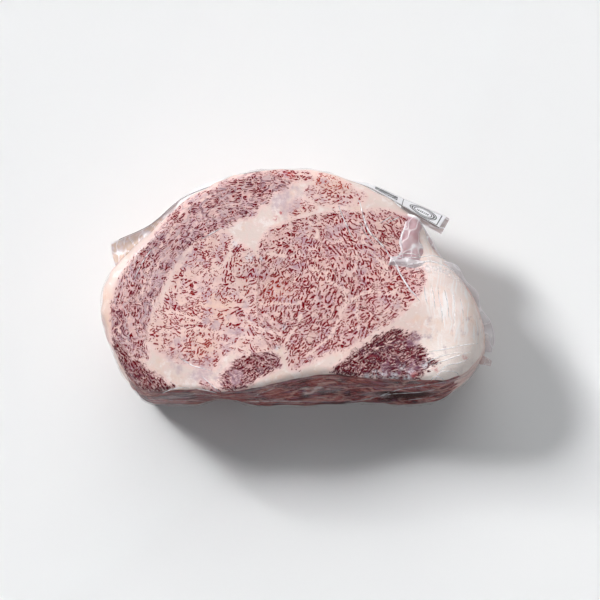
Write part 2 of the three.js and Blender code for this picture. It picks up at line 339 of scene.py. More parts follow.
# %% Muscle outlines, in millimetres from the loft's zero
CAP_CENTRE, CAP_RADIUS = (-22, -30), 97
MUSCLES = {
    # flecks' length and width, bundles' length and width, how lean, how dark, how veiled, outline
    "cap": (6.6, 1.9, 24, 10, 0.75, 0.75, 0.1, [
        (-130, -34), (-131, -22), (-130, -11), (-128, -1), (-125, 7), (-120, 16), (-114, 24), (-107, 32),
        (-100, 40), (-95, 47), (-89, 55), (-81, 63), (-71, 69), (-60, 74), (-49, 80), (-38, 83), (-27, 86),
        (-18, 87), (-9, 83), (-2, 80), (-6, 75), (-15, 72), (-18, 66), (-25, 61), (-29, 55), (-38, 53),
        (-47, 48), (-56, 43), (-64, 38), (-72, 35), (-80, 29), (-85, 21), (-90, 13), (-94, 5), (-97, -3),
        (-102, -10), (-104, -19), (-106, -28), (-107, -38), (-105, -48), (-111, -50), (-120, -44), (-126, -38),
    ]),
    "left": (6.6, 3.0, 17, 11, 0.52, 0.35, 0.05, [
        (-69, 36), (-61, 39), (-53, 41), (-45, 38), (-44, 32), (-37, 32), (-31, 28), (-26, 21), (-25, 7),
        (-26, -7), (-25, -22), (-22, -34), (-17, -41), (-22, -46), (-32, -46), (-42, -44), (-51, -47),
        (-55, -55), (-64, -56), (-74, -53), (-84, -50), (-93, -47), (-100, -41), (-103, -32), (-101, -23),
        (-97, -14), (-92, -6), (-88, 2), (-84, 11), (-78, 20), (-73, 28),
    ]),
    "eye": (5.9, 3.1, 16, 12, 0.85, 0.6, 0.05, [
        (-16, 43), (-7, 47), (3, 52), (15, 53), (26, 56), (39, 57), (53, 57), (64, 58), (76, 56), (86, 52),
        (83, 43), (78, 35), (80, 25), (87, 18), (97, 13), (95, 4), (88, -5), (80, -15), (70, -23), (58, -30),
        (48, -37), (39, -43), (29, -44), (19, -49), (9, -54), (0, -57), (-3, -48), (-6, -39), (-14, -42),
        (-20, -35), (-24, -22), (-25, -7), (-24, 7), (-24, 21), (-23, 32),
    ]),
    "top_red": (8.6, 3.0, 18, 6, 0.9, 0.4, 0, [
        (-17, 88), (-7, 90), (3, 89), (12, 87), (14, 83), (7, 81), (-2, 81), (-10, 83),
    ]),
    "top_orange": (5.5, 2.8, 12, 7, 0.5, 0.1, 0, [
        (16, 82), (22, 86), (31, 83), (38, 79), (43, 75), (37, 74), (28, 76), (20, 78),
    ]),
    "top_lobe": (6.2, 2.8, 14, 7, 0.42, 0.3, 0.1, [
        (11, 72), (16, 76), (26, 76), (37, 74), (47, 73), (53, 69), (50, 65), (39, 63), (29, 63), (20, 65),
    ]),
    "top_small": (6.2, 2.8, 12, 8, 0.5, 0.3, 0.1, [
        (-1, 55), (0, 62), (6, 66), (13, 64), (17, 60), (9, 59), (4, 56),
    ]),
    "rim_dark": (8.4, 2.2, 26, 8, 1.2, 0.85, 0.1, [
        (-130, -35), (-125, -39), (-119, -47), (-111, -53), (-103, -60), (-95, -65), (-87, -71), (-92, -75),
        (-102, -78), (-112, -79), (-121, -68), (-128, -58), (-132, -46),
    ]),
    "lobe": (5.4, 2.7, 15, 11, 1.1, 0.85, 0.15, [
        (-47, -59), (-40, -52), (-33, -47), (-25, -45), (-17, -46), (-11, -49), (-9, -55), (-16, -59),
        (-23, -62), (-30, -67), (-36, -71), (-45, -73), (-51, -70), (-51, -64),
    ]),
    "strip": (10.9, 2.8, 26, 8, 0.9, 0.7, 0.1, [
        (-65, -66), (-58, -70), (-51, -75), (-45, -78), (-51, -79), (-57, -77), (-62, -73),
    ]),
    "rib": (8.6, 2.2, 22, 9, 1.5, 0.95, 0.15, [
        (30, -59), (35, -55), (42, -48), (49, -43), (58, -37), (67, -32), (76, -29), (84, -32), (91, -34),
        (88, -40), (97, -44), (94, -50), (106, -52), (98, -57), (91, -63), (81, -66), (69, -65), (56, -63),
        (43, -63), (33, -62),
    ]),
}
print(len(MUSCLES), "muscles on the cut face")

# %% [markdown]
# ## Seams, grain, veils and stains
#
# Wider seams of fat branch between the bundles: each is a line with a half width. The fibres turn slowly, so
# we comb them: points with the angle of the flecks there. A veil is a patch where milky juice hides the
# flecks.

# %% Lines and spots of the cut face, in millimetres
FAT_SEAMS = [
    (0.8, [(-98, 29), (-92, 37), (-87, 46), (-82, 55), (-76, 62), (-67, 66), (-57, 71)]),
    (0.6, [(-70, 50), (-63, 57), (-51, 62), (-38, 64)]),
    (0.6, [(-75, 43), (-67, 50), (-57, 55), (-47, 59)]),
    (1.1, [(-105, -1), (-103, 7), (-99, 16), (-96, 23)]),
    (0.9, [(-109, -2), (-106, 11), (-103, 21)]),
    (0.7, [(-126, -29), (-120, -38), (-112, -45), (-104, -49)]),
    (1.3, [(-58, 21), (-58, 11), (-57, 0), (-57, -11)]),
    (2.6, [(-45, 31), (-46, 24), (-51, 18), (-57, 15)]),
    (1.5, [(-96, -17), (-85, -16), (-74, -20), (-65, -23)]),
    (1.5, [(-96, -31), (-83, -30), (-70, -28), (-56, -30), (-38, -34), (-22, -35)]),
    (1.2, [(-63, -12), (-49, -12), (-38, -10), (-33, -11)]),
    (1.3, [(-36, -20), (-27, -26), (-17, -30), (-9, -32)]),
    (1.1, [(-70, -5), (-63, 0), (-58, 4)]),
    (2.0, [(-49, -39), (-38, -42), (-30, -46), (-38, -48)]),
    (1.7, [(-20, 27), (-10, 26), (-1, 25), (4, 28)]),
    (1.2, [(-22, -10), (-12, -10), (-1, -10), (6, -10)]),
    (1.6, [(-6, -40), (-1, -33), (3, -26), (7, -18)]),
    (1.7, [(39, -11), (36, -16), (33, -22), (30, -29), (26, -35), (20, -41), (12, -47)]),
    (1.4, [(39, -11), (44, -7), (51, -3), (60, -1), (70, -3), (76, 0)]),
    (1.2, [(25, 12), (26, 7), (33, 3), (39, -1), (39, -10)]),
    (1.2, [(47, 28), (47, 21), (45, 15)]),
    (1.4, [(51, 40), (55, 32), (61, 25), (68, 18), (70, 11)]),
    (2.0, [(13, 50), (19, 43), (18, 39)]),
    (0.9, [(77, 4), (77, -4), (72, -12), (64, -20)]),
    (0.8, [(47, -5), (47, -15), (49, -26), (47, -35)]),
    (0.7, [(75, -36), (67, -40), (58, -45), (51, -48)]),
]
COMB = [
    # x, y, angle in degrees
    (-5, 40, 10), (6, 29, 80), (-5, 21, 60), (20, 18, 85), (35, 21, 95), (39, 43, -40), (57, 40, -55),
    (75, 48, -25), (64, 15, -60), (86, 7, 30), (6, 0, 60), (24, -4, 55), (-12, -15, 80), (6, -29, 50),
    (24, -33, 60), (42, -29, 65), (42, -7, 70), (60, -15, 30), (75, -7, 45), (6, -47, 55), (78, -16, 40),
    (-64, 33, 15), (-67, 21, 25), (-78, 11, 15), (-78, -1, 10), (-74, -11, 15), (-38, 11, 85),
    (-31, -4, 60), (-41, -18, 20), (-30, -26, -20), (-67, -36, 50), (-85, -40, 0), (-92, -11, -40),
    (-45, -51, 20), (-22, -40, -35), (-52, 0, 80), (-81, -26, 0), (-110, -65, -48), (-57, -74, -35),
    (-30, -60, 52), (60, -52, 38), (85, -56, 25), (0, 86, 8), (28, 80, -6), (32, 69, 4), (8, 61, 20),
]
VEILS = [
    # x, y, radius, strength
    (-49, 63, 12, 0.5), (-88, 23, 10, 0.6), (-98, 13, 7, 0.4), (-5, 66, 13, 1), (9, 33, 7, 0.5),
    (28, 43, 7, 0.6), (39, 48, 6, 0.5), (-63, -23, 4, 0.8), (-56, -26, 5, 0.9), (-48, -29, 5, 0.8),
    (-40, -30, 4, 0.6), (-40, -63, 7, 1),
    (-63, -60, 12, 0.8), (-82, -52, 9, 0.7), (75, -10, 6, 0.5), (-118, -29, 7, 0.3), (-34, -10, 4, 0.6),
    (20, -7, 4, 0.4), (6, -6, 6, 0.4), (-114, -35, 6, 0.5), (-87, -26, 5, 0.5), (42, 29, 7, 0.4),
    (-46, -20, 4, 0.5), (70, -58, 11, 0.5), (88, -57, 9, 0.7), (88, -37, 8, 0.8), (-119, -56, 6, 0.5),
]
WHITE_SPOTS = [
    (-42, 34, 2.9), (-31, 24, 3.3), (-22, 23, 1.8), (-11, -42, 2.2), (-6, -27, 2.2), (97, -55, 3),
    (54, -63, 2.5), (60, -60.5, 3), (66, -61, 3), (74, -63, 3.5), (80, -56, 2.5), (84, -64, 3.5), (86, -60, 3),
]
BLOOD_SPOTS = [(-12, 52.5, 2.2), (-8, 57, 1.6), (104, -58, 2.0), (88, -62, 2.5), (-2, 85, 4), (126, -49, 1.5)]
WARM_SPOTS = [(-64, -41, 12), (-55, -12, 12), (-12, 0, 12), (-139, -5, 9), (-137, -22, 9), (26, 80, 10)]
print(len(FAT_SEAMS), "seams,", len(COMB), "teeth in the comb,", len(VEILS), "veils")

# %% [markdown]
# ## Measuring distances
#
# Each point needs its depth inside every muscle, negative in the fat outside. It is the least distance to
# the short straight pieces of the outline, and a count of crossings tells inside from outside.


# %% Distance fields
def distance_to_line(points, line):
    """Least distance from each point to a line of points, in the same units."""
    best = np.full(len(points), 1e9)
    for a, b in zip(line[:-1], line[1:]):
        along = b - a
        w = np.clip((points - a) @ along / (along @ along), 0, 1)
        best = np.minimum(best, np.linalg.norm(points - a - w[:, None] * along, axis=1))
    return best


def depth_inside(points, outline, steps=4):
    """Distance to the closed curve through the outline, positive inside."""
    line = curve_at(outline, np.arange(len(outline) * steps + 1) / (len(outline) * steps) % 1, True)
    inside = np.zeros(len(points), bool)
    x, y = points.T
    for (ax, ay), (bx, by) in zip(line[:-1], line[1:]):
        crosses = (ay > y) != (by > y)
        with np.errstate(divide="ignore", invalid="ignore"):
            inside ^= crosses & (x < (bx - ax) * (y - ay) / (by - ay) + ax)
    distance = distance_to_line(points, line)
    return np.where(inside, distance, -distance)


def spots(points, rows):
    """The strongest of several soft round spots: x, y, radius and maybe a strength in each row."""
    total = np.zeros(len(points))
    for x, y, radius, *strength in rows:
        near = np.hypot(points[:, 0] - x, points[:, 1] - y) / radius
        total = np.maximum(total, (strength[0] if strength else 1) * (1 - smooth(near, 0.2, 1.5)))
    return total


def combed_angle(points):
    """The angle of the flecks, blended between the comb's teeth without a jump at 180 degrees."""
    teeth = np.array(COMB, float)
    weight = ((points[:, None] - teeth[:, :2]) ** 2).sum(-1)
    weight = 1 / (weight + 20) ** 2
    double = np.radians(teeth[:, 2]) * 2
    return np.arctan2(weight @ np.sin(double), weight @ np.cos(double)) / 2


# %% [markdown]
# ## Reading the muscles onto points
#
# Each point takes the looks of the muscle that it is deepest in, and its place in that muscle's chart. The
# cap bends round the others, so its chart is an arc: the way along it and the distance across.

# %% Fields of the cut face
# in the noise, how far apart the charts of two muscles lie, and those of the two cut faces
MUSCLE_APART, LOWER_APART = 17.0, 151
SEAM_STEEPNESS, SEAM_SHARE, SEAM_EXTRA = 1.6, 0.6, 0.4
CAP_LIE, MUSCLE_GROWTH = 0.22, 0.8


def face_fields(points):
    """Attributes of points on a cut face, in loft millimetres."""
    flat = points[:, :2]
    depth = np.full(len(points), -1e9)
    names = ("chart", "fleck", "bundle", "look")
    fields = {name: np.zeros((len(points), 3)) for name in names}
    for number, (long, thin, wide, narrow, *look, outline) in enumerate(MUSCLES.values()):
        inside = depth_inside(flat, outline)
        best = inside > depth
        depth = np.where(best, inside, depth)
        fields["chart"][best] = np.c_[flat[best], np.full(best.sum(), number * MUSCLE_APART)]
        fields["fleck"][best] = (1 / long, 1 / thin, 1)
        fields["bundle"][best] = (1 / wide, 1 / narrow, 1)
        fields["look"][best] = look
    for half_width, line in FAT_SEAMS:
        line = curve_at(line, np.linspace(0, 1, 4 * len(line)), False)
        clear = distance_to_line(flat, line) - SEAM_SHARE * half_width - SEAM_EXTRA
        depth = np.minimum(depth, SEAM_STEEPNESS * clear)
    fields["lie"] = combed_angle(flat)
    in_cap = fields["chart"][:, 2] == 0
    arm = flat[in_cap] - CAP_CENTRE
    radius = np.linalg.norm(arm, axis=1)
    fields["chart"][in_cap, 0] = np.arctan2(arm[:, 1], -arm[:, 0]) * CAP_RADIUS
    fields["chart"][in_cap, 1] = radius - CAP_RADIUS
    fields["lie"][in_cap] = CAP_LIE
    fields["look"][:, 2] = np.maximum(fields["look"][:, 2], spots(flat, VEILS))
    fields["stain"] = np.c_[spots(flat, WHITE_SPOTS), spots(flat, BLOOD_SPOTS), spots(flat, WARM_SPOTS)]
    fields["depth"] = depth + MUSCLE_GROWTH
    return fields


# %% [markdown]
# ## The meat
#
# The meat is the same loft with many more points, a fraction of a millimetre inside the film. In the hollow
# of the rib side it draws back from the film, and its walls carry slow lumps.

# %% Build the meat
MEAT_GRID = dict(turns=470, under=40, foot=5, side=26, roll=10, face=118)
FILM_GAP, MEAT_HOLLOW = 0.5, 15
MEAT_LUMP, MEAT_LUMP_LENGTH = 0.5, 14
meat_grid = loft(**MEAT_GRID, hollow_depth=MEAT_HOLLOW)
meat_normals = grid_normals(meat_grid)
meat_grid = meat_grid - meat_normals * FILM_GAP
side_share = smooth(1 - np.abs(meat_normals[..., 2]), 0.2, 0.8)
lumps = MEAT_LUMP * waves(meat_grid, MEAT_LUMP_LENGTH, 3) * side_share
meat_grid += meat_normals * lumps[..., None]
meat_points = with_middles(meat_grid)
turns, rings = meat_grid.shape[:2]
meat = new_object("marbled_meat", to_frame(meat_points), wrapped_faces(turns, rings))
print("meat:", len(meat.data.vertices), "points", len(meat.data.polygons), "faces")

# %% [markdown]
# One mask tells the side of the roast from its cut faces, and one the bare rib meat from the fat cover. Both
# are soft, and the material roughens their borders with noise.

# %% Fields on the meat
BONE_HALF = 136
fields = face_fields(meat_points)
meat_out = np.vstack([meat_normals.reshape(-1, 3), (0, 0, -1), (0, 0, 1)])
fields["chart"][meat_out[:, 2] < -0.5, 2] += LOWER_APART
x, y, z = meat_points.T
fields["bare"] = smooth(-meat_out[:, 1], 0.1, 0.7) * smooth(-np.abs(x), -BONE_HALF, -104)
near_hollow = hollow_at(x, y, z)
# where the side's hollow gets painted shade
fields["hollow"] = smooth(near_hollow, 0.2, 0.6) * smooth(-y, 40, 60)
fields["side"] = np.maximum(
    smooth(1 - np.abs(meat_out[:, 2]), 0.3, 0.9), smooth(near_hollow, 0.005, 0.1) * smooth(-y, 40, 60)
)
for name, values in fields.items():
    put_attribute(meat, name, values)
print("share of points inside a muscle:", round(float((fields["depth"] > 0).mean()), 2))

# %% [markdown]
# ## A small kit for materials
#
# A material is a network of nodes. We write it as sums: a small class lets the output of a node be added,
# multiplied and so on, and each sum adds the node that works it out.


# %% Node kit
def srgb(r, g, b):
    """A colour given as 0 to 255 screen values, as the linear values that Blender wants."""
    linear = [c / 255 / 12.92 if c <= 10 else ((c / 255 + 0.055) / 1.055) ** 2.4 for c in (r, g, b)]
    return (*linear, 1)


class Value:
    """The output of a node. Reckoning with values adds the nodes that do the sums."""

    def __init__(self, socket):
        self.socket = socket
        self.wide = socket.type in ("VECTOR", "RGBA")

    def reckon(self, how, other=0):
        return node("VectorMath" if self.wide else "Math", 0, {"operation": how}, i0=self, i1=other)

    def __add__(self, other):
        return self.reckon("ADD", other)

    def __sub__(self, other):
        return self.reckon("SUBTRACT", other)

    def __mul__(self, other):
        if self.wide and not getattr(other, "wide", isinstance(other, tuple)):
            return node("VectorMath", 0, {"operation": "SCALE"}, i0=self, Scale=other)
        return self.reckon("MULTIPLY", other)

    def __truediv__(self, other):
        return self.reckon("DIVIDE", other)

    def __abs__(self):
        return self.reckon("ABSOLUTE")


def start_material(name, piece):
    """Give a piece an empty material and give back its network."""
    material = bpy.data.materials.new(name)
    material.use_nodes = True
    material.node_tree.nodes.clear()
    piece.data.materials.append(material)
    return material.node_tree


def node(kind, output=0, settings=None, **inputs):
    """Add a node to the network at hand, tree. An input goes by its name, or by i and its number."""
    made = tree.nodes.new("ShaderNode" + kind)
    for key, value in (settings or {}).items():
        setattr(made, key, value)
    for key, value in inputs.items():
        socket = made.inputs[int(key[1:]) if key[1:].isdigit() else key.replace("_", " ")]
        if isinstance(value, Value):
            tree.links.new(value.socket, socket)
        else:
            socket.default_value = value
    return made if output is None else Value(made.outputs[output])


def finish(shader="BsdfPrincipled", **inputs):
    node("OutputMaterial", None, Surface=node(shader, **inputs))


def read(name, output="Fac"):
    return node("Attribute", output, {"attribute_name": name})


def parts(value):
    return [Value(output) for output in node("SeparateXYZ", None, i0=value).outputs]


def join(x, y, z):
    return node("CombineXYZ", i0=x, i1=y, i2=z)


def length(value):
    return node("VectorMath", 1, {"operation": "LENGTH"}, i0=value)


def position():
    """The place on the piece, in millimetres."""
    return node("TexCoord", "Object") * 1000


def greatest(value, *others):
    for other in others:
        value = value.reckon("MAXIMUM", other)
    return value


def step(value, low, high, a=0, b=1):
    """From a at low to b at high, softly."""
    settings = {"interpolation_type": "SMOOTHSTEP"}
    return node("MapRange", 0, settings, Value=value, From_Min=low, From_Max=high, To_Min=a, To_Max=b)


def noise(place, scale, detail=2, roughness=0.5, output="Fac"):
    """Noise at a scale per millimetre; with a scale for each direction it is stretched."""
    if isinstance(scale, tuple):
        place, scale = place * scale, 1
    return node("TexNoise", output, Vector=place, Scale=scale, Detail=detail, Roughness=roughness)


def wavering(place, scale, detail, reach):
    """Places pushed this way and that by up to half the reach, so that what is drawn on them wavers."""
    return place + (noise(place, scale, detail, 0.5, "Color") - (0.5, 0.5, 0.5)) * reach


def mix(amount, a, b, how="MIX"):
    return node("Mix", 2, {"data_type": "RGBA", "blend_type": how}, i0=amount, i6=a, i7=b)


def layered(colour, *layers):
    """A colour with others laid over it in turn, each where its own amount is 1."""
    for amount, over in layers:
        colour = mix(amount, colour, over)
    return colour


def dimmed(colour, by):
    return mix(1, colour, join(by, by, by), "MULTIPLY")


def bump(height, distance, strength):
    return node("Bump", Height=height, Distance=distance, Strength=strength)


# %% [markdown]
# ## Marbled meat
#
# Marbling is fat grown between the fibres. Seen close, the red meat is left as thin dark ropes round small
# pale islands, which lean one way inside a bundle and turn from bundle to bundle. So we cut each muscle into
# cells, turn each cell's chart, stretch a noise along it and keep a level line of it: that is such a rope.

# %% Colours of meat and fat
FAT_CREAM = srgb(233, 214, 206)
FAT_PINK = srgb(226, 192, 184)
FAT_ORANGE = srgb(236, 196, 170)
FLESH_PALE = srgb(240, 206, 200)
FLESH_DARK = srgb(196, 138, 142)
FLESH_RED = srgb(112, 14, 32)
FLESH_PEACH = srgb(234, 194, 180)
FLESH_LILAC = srgb(188, 150, 166)
VEIL_LILAC = srgb(200, 170, 178)
VEIL_SLATE = srgb(142, 108, 132)
RED_DEEP = srgb(100, 0, 13)
RED_MID = srgb(160, 12, 30)
RED_WARM = srgb(180, 66, 46)
RED_BLACK = srgb(60, 0, 16)
BLOOD = srgb(190, 34, 40)
WHITE_FILM = srgb(232, 230, 236)

# %% Bundles and their grain
tree = start_material("marbled_meat", meat)
place = position()
lean, tone, veil = parts(read("look", "Vector"))
chart = read("chart", "Vector")
bent = wavering(chart, 0.1, 1, 12)
cells = dict(Vector=bent * read("bundle", "Vector"), Scale=1, Randomness=0.9)
edge = node("TexVoronoi", "Distance", {"feature": "DISTANCE_TO_EDGE"}, **cells)
chance = parts(node("TexVoronoi", "Color", **cells))
turn = (chance[0] - 0.5) * step(tone, 0.35, 0.75, 1, 0.45) + read("lie").reckon("SNAP", 0.3)
rippled = wavering(chart, 0.3, 1, 0.8)
turned = node("VectorRotate", 0, {"rotation_type": "Z_AXIS"}, Vector=rippled, Angle=turn * -1)

# %% [markdown]
# A level line is thin where the noise is steep. For ropes of even thickness we look at the noise twice more,
# a little away to either axis. That gives the slope, and the distance to the level line is the noise's
# difference from the level over the slope.

# %% Red ropes on the cut face
LOOK_AWAY = 0.25
ROPE_LEVEL = 0.04
LEAST_SLOPE = 0.02
fleck_size = read("fleck", "Vector")
flecks, right_of, above = (
    noise((turned + shift) * fleck_size, 1, 0) for shift in ((0, 0, 0), (LOOK_AWAY, 0, 0), (0, LOOK_AWAY, 0))
)
slope = length(join(right_of - flecks, above - flecks, 0)) / LOOK_AWAY
off = abs(abs(flecks - 0.5) - ROPE_LEVEL) / slope.reckon("MAXIMUM", LEAST_SLOPE)
width = (lean * 0.3 + 0.235) * step(noise(chart, 0.12, 2, 0.55), 0.34, 0.64, 0.7, 1.3)
width = width * (chance[1] * 0.5 + 0.75)
core = step(off - width * 0.5, 0.25, -0.25)
fat_between = step(noise(bent, 0.13, 1), 0.38, 0.62, 0, 0.15) * step(lean, 1.2, 0.5)
teeth = noise(turned, (0.2, 0.8, 1), 1)
rough = (noise(place, 0.24, 3) - 0.5) * 8 + (teeth - 0.5) * 9
muscle_depth = read("depth")
depth = muscle_depth + rough
inside = step(depth, -0.6, 0.6)
curd = (noise(place, 0.14, 4, 0.65) - 0.5) * 2.6
milk = step(veil + curd, 0.25, 0.95) * step(veil, 0, 0.15)
red = step(off - width, 0.14, -0.14) * step(noise(turned, 0.25, 1), 0.3, 0.38)
red = red * step(edge - fat_between, -0.03, 0.03) * inside * step(milk, 0.2, 1, 1, 0.25)

# %% Red ropes and fat of the cut face
white_spot, blood_spot, warm_spot = parts(read("stain", "Vector"))
ember = step(noise(place, 0.2), 0.55, 0.7, 0, 0.5) * step(tone, 0.9, 0.4)
red_colour = layered(
    RED_MID,
    (core * step(tone, 0, 0.8, 0.5, 1), RED_DEEP),
    (step(tone, 0.65, 1, 0, 0.75), RED_BLACK),
    (greatest(step(tone, 0.35, 0.1), warm_spot * 0.5, ember), RED_WARM),
)
right, behind, height = parts(place)
tail = step(right, 86, 104) * step(behind, -62, -40)
# painted light: the low front of the fat tail is lightened where it rolls down away from the lamps
low_tail_painted_light = step(right, 82, 100) * step(behind, -34, -56)
pulled = wavering(place, 0.04, 2, 14)
long_creases = noise(pulled, (0.5, 0.035, 0.035), 3, 0.6)
fat_colour = layered(
    FAT_CREAM,
    (step(noise(place, 0.05, 3), 0.42, 0.72, 0.05, 0.45), FAT_PINK),
    (step(noise(place, 0.18, 4, 0.65), 0.5, 0.62, 0, 0.35), FLESH_PALE),
    (step(noise(place, 0.06, 4, 0.65), 0.5, 0.66, 0, 0.35), FAT_ORANGE),
    (step(noise(place, 0.1, 4, 0.7), 0.5, 0.62, 0, 0.7), srgb(246, 234, 230)),
    (step(muscle_depth, -4, -0.5, 0, 0.75), FLESH_PALE),
    (warm_spot * 0.5, FAT_ORANGE),
    (tail * 0.4, srgb(248, 236, 230)),
    (step(long_creases, 0.52, 0.6, 0, 0.85) * tail, srgb(246, 240, 238)),
    # painted light on the low front of the fat tail
    (low_tail_painted_light * 0.8, srgb(255, 243, 236)),
    (step(noise(place, 0.11, 3, 0.65), 0.53, 0.64, 0, 0.2) * tail, FAT_ORANGE),
)

# %% [markdown]
# Between the ropes lies pale flesh. A colour is made in layers, each an amount and what it lays over the ones
# before: first the flesh and its milky veils over the fat, and then the ropes, threads and stains.

# %% Flesh of the cut face, and all its colours together
flesh_shade = (noise(place, 0.22, 3, 0.6) - 0.5) * 1.6 + tone
hue = noise(place, 0.085, 3, 0.6)
dense = step(lean, 0.9, 1.4, 0, 0.92)
flesh = layered(
    FLESH_PALE,
    (step(flesh_shade, 0.1, 1.1), FLESH_DARK),
    (step(hue, 0.5, 0.64, 0, 0.65), FLESH_LILAC),
    (step(hue, 0.5, 0.36, 0, 0.5) * step(tone, 0.9, 0.4), FLESH_PEACH),
    (dense, FLESH_RED),
)
flesh_mask = step(depth, -2, 2) * step(edge, 0, 0.2, 0.5, 1) * step(muscle_depth, -4, -1.5)
cloud = step(noise(place, 0.35, 4, 0.7), 0.35, 0.6, 0.3, 0.75)
threads = step(noise(turned, (0.14, 0.75, 1)), 0.58, 0.66, 0, 0.75) * step(tone, 0.5, 0.8, 0.15, 1)
arcs = step(noise(bent, (0.03, 0.34, 1), 1), 0.57, 0.63, 0, 0.85) * step(parts(chart)[2], 2, 1)
face_colour = layered(
    fat_colour,
    (flesh_mask, flesh),
    (milk * cloud, mix(dense, VEIL_LILAC, VEIL_SLATE)),
    (red, red_colour),
    (threads * inside, FLESH_PALE),
    (arcs * inside, srgb(214, 184, 186)),
)
shade = step(noise(bent, (0.05, 0.1, 1), 3, 0.65), 0.48, 0.66) * step(tone, 0.55, 0.75, 0.1, 0.7)
slate = mix(0.25, mix(0.7, face_colour, VEIL_SLATE, "MULTIPLY"), VEIL_SLATE)
blotch = step(noise(place, 0.5, 3, 0.7), 0.4, 0.6) * 0.8
face_colour = layered(
    face_colour,
    (shade * step(muscle_depth, -0.5, 1.5) * inside, slate),
    (step(noise(place, 0.8), 0.65, 0.71, 0, 0.8) * inside, FAT_CREAM),
    (white_spot * blotch, WHITE_FILM),
    (blood_spot * blotch, BLOOD),
)

# %% [markdown]
# ## The sides of the roast
#
# Round most of the side lies the fat cover, cream with pink and apricot clouds. Along the rib side bare meat
# shows: level fibres of dark red, pale membrane between strips of muscle, and a pale hem at the foot.

# %% Sides of the roast
drifted = wavering(place, 0.04, 2, 22)
masses = noise(drifted, (0.04, 0.04, 0.07), 5, 0.68)
streaks = noise(drifted, (0.1, 0.1, 0.4), 4, 0.7)
fibres = noise(drifted, (0.14, 0.14, 0.55), 3, 0.6)
grain = (streaks - 0.5) * 0.6 + masses
strips = dict(Vector=drifted * (0.028, 0.028, 0.055), Scale=1)
strip_edge = node("TexVoronoi", "Distance", {"feature": "DISTANCE_TO_EDGE"}, **strips)
membrane = strip_edge - step(streaks, 0.4, 0.65, 0, 0.09)
bare_colour = layered(
    srgb(60, 0, 8),
    (step(grain, 0.41, 0.46), srgb(128, 26, 30)),
    (step(grain, 0.5, 0.56), srgb(166, 84, 76)),
    (step(grain, 0.6, 0.66, 0, 0.85), srgb(200, 158, 146)),
    (step(noise(drifted, (0.05, 0.05, 0.12), 4, 0.65), 0.55, 0.64, 0, 0.6), VEIL_SLATE),
    (step(noise(place, (0.2, 0.2, 0.4), 3, 0.65), 0.54, 0.58, 0, 0.75), srgb(76, 8, 14)),
    (step(fibres, 0.45, 0.38, 0, 0.6), srgb(58, 2, 10)),
    (step(fibres, 0.55, 0.62, 0, 0.4), srgb(196, 134, 130)),
    (step(membrane, 0.015, -0.015, 0, 0.55), srgb(200, 156, 146)),
    (step((streaks - 0.5) * 14 + height, 6, 3, 0, 0.6), srgb(204, 170, 166)),
)
blots = noise(drifted, (0.045, 0.045, 0.16), 5, 0.72)
cover_colour = layered(
    FAT_CREAM,
    (step(noise(drifted, 0.03, 3), 0.42, 0.6, 0.3, 1), FAT_PINK),
    (step(noise(drifted, 0.08), 0.56, 0.7, 0, 0.6), FAT_ORANGE),
    (step(blots, 0.5, 0.66, 0, 0.7), srgb(222, 168, 160)),
    (step(blots, 0.62, 0.74, 0, 0.6), srgb(160, 52, 52)),
    (step(noise(drifted, (0.03, 0.03, 0.35), 3, 0.6), 0.56, 0.64, 0, 0.5), srgb(248, 236, 230)),
)
jitter = noise(place, 0.12, 3) - 0.5
rib, side = read("bare"), read("side")
bare = step(jitter * 0.5 + rib + (masses - 0.5) * 1.4, 0.3, 0.42) * step(rib, 0, 0.1)
# in the hollow of the rib side a near-black brown is painted shade
side_colour = layered(cover_colour, (bare, bare_colour), (read("hollow"), srgb(64, 26, 22)))
colour = mix(step(jitter * 0.7 + side, 0.35, 0.65), face_colour, side_colour)
colour = dimmed(colour, step(noise(place, 0.025, 3), 0.3, 0.7, 0.93, 1.03))

# %% [markdown]
# The tight film is so thin that its only sign is its gloss. The meat gets a clear coat with its own normal:
# fine wrinkles, stronger over the soft fat at the right. On the side the film hangs looser and duller.

# %% Gloss of the tight film
wrinkles = noise(pulled, (0.1, 0.13, 0.1), 3, 0.6) * 0.8 + long_creases * tail
finish(
    Base_Color=colour, Roughness=0.5, Specular_IOR_Level=0.05,
    Normal=bump(red * -0.6 + noise(place, 0.7), 0.0003, 0.6),
    Coat_Weight=side * -0.3 + 0.5, Coat_Roughness=0.14, Coat_IOR=1.45,
    Coat_Normal=bump(wrinkles, 0.0016, 0.7),
)
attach(meat, "root")
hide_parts("bagged_rib_roast")

# %% [markdown]
# ## The tight film
#
# The bag is shrunk on to the meat. Where it lies flat it vanishes, and its folds show as pale lines. This
# skin is the same loft a little further out, with ridges on its sides that are nearly solid. It doesn't
# follow the meat into the hollow of the rib side.

# %% Build the tight film
FILM_GRID = dict(turns=330, under=14, foot=5, side=44, roll=10, face=60)
FILM_LIFT, FOLD_HEIGHT = 0.3, 0.9
FOLD_LENGTH, FOLD_SHARPNESS = 14, 1.6
FOLD_STRETCH, FOLD_SLANT, FOLD_BEND = (0.22, 0.22, 1), 0.1, 6
film_grid = loft(**FILM_GRID, hollow_depth=HOLLOW["depth"])
film_normals = grid_normals(film_grid)
sideways = smooth(1 - np.abs(film_normals[..., 2]), 0.15, 0.7)
rib_facing = smooth(-film_normals[..., 1], 0.3, 0.8)
folded = film_grid * FOLD_STRETCH
folded[..., 2] += FOLD_SLANT * film_grid[..., 0] + FOLD_BEND * waves(film_grid, 60, 21)
fold = 1 - np.abs(waves(folded, FOLD_LENGTH, 5)) * FOLD_SHARPNESS
fold = np.clip(fold, 0, 1) ** 2 * sideways * (0.6 + 0.4 * rib_facing)
film_grid += film_normals * (FILM_LIFT + FOLD_HEIGHT * fold)[..., None]
film_points = with_middles(film_grid)
film = new_object("bag_film", to_frame(film_points), wrapped_faces(*film_grid.shape[:2]))
put_attribute(film, "fold", np.append(fold.ravel(), (0, 0)))
put_attribute(film, "sideways", np.append(sideways.ravel(), (0, 0)))
print("film:", len(film.data.polygons), "faces")

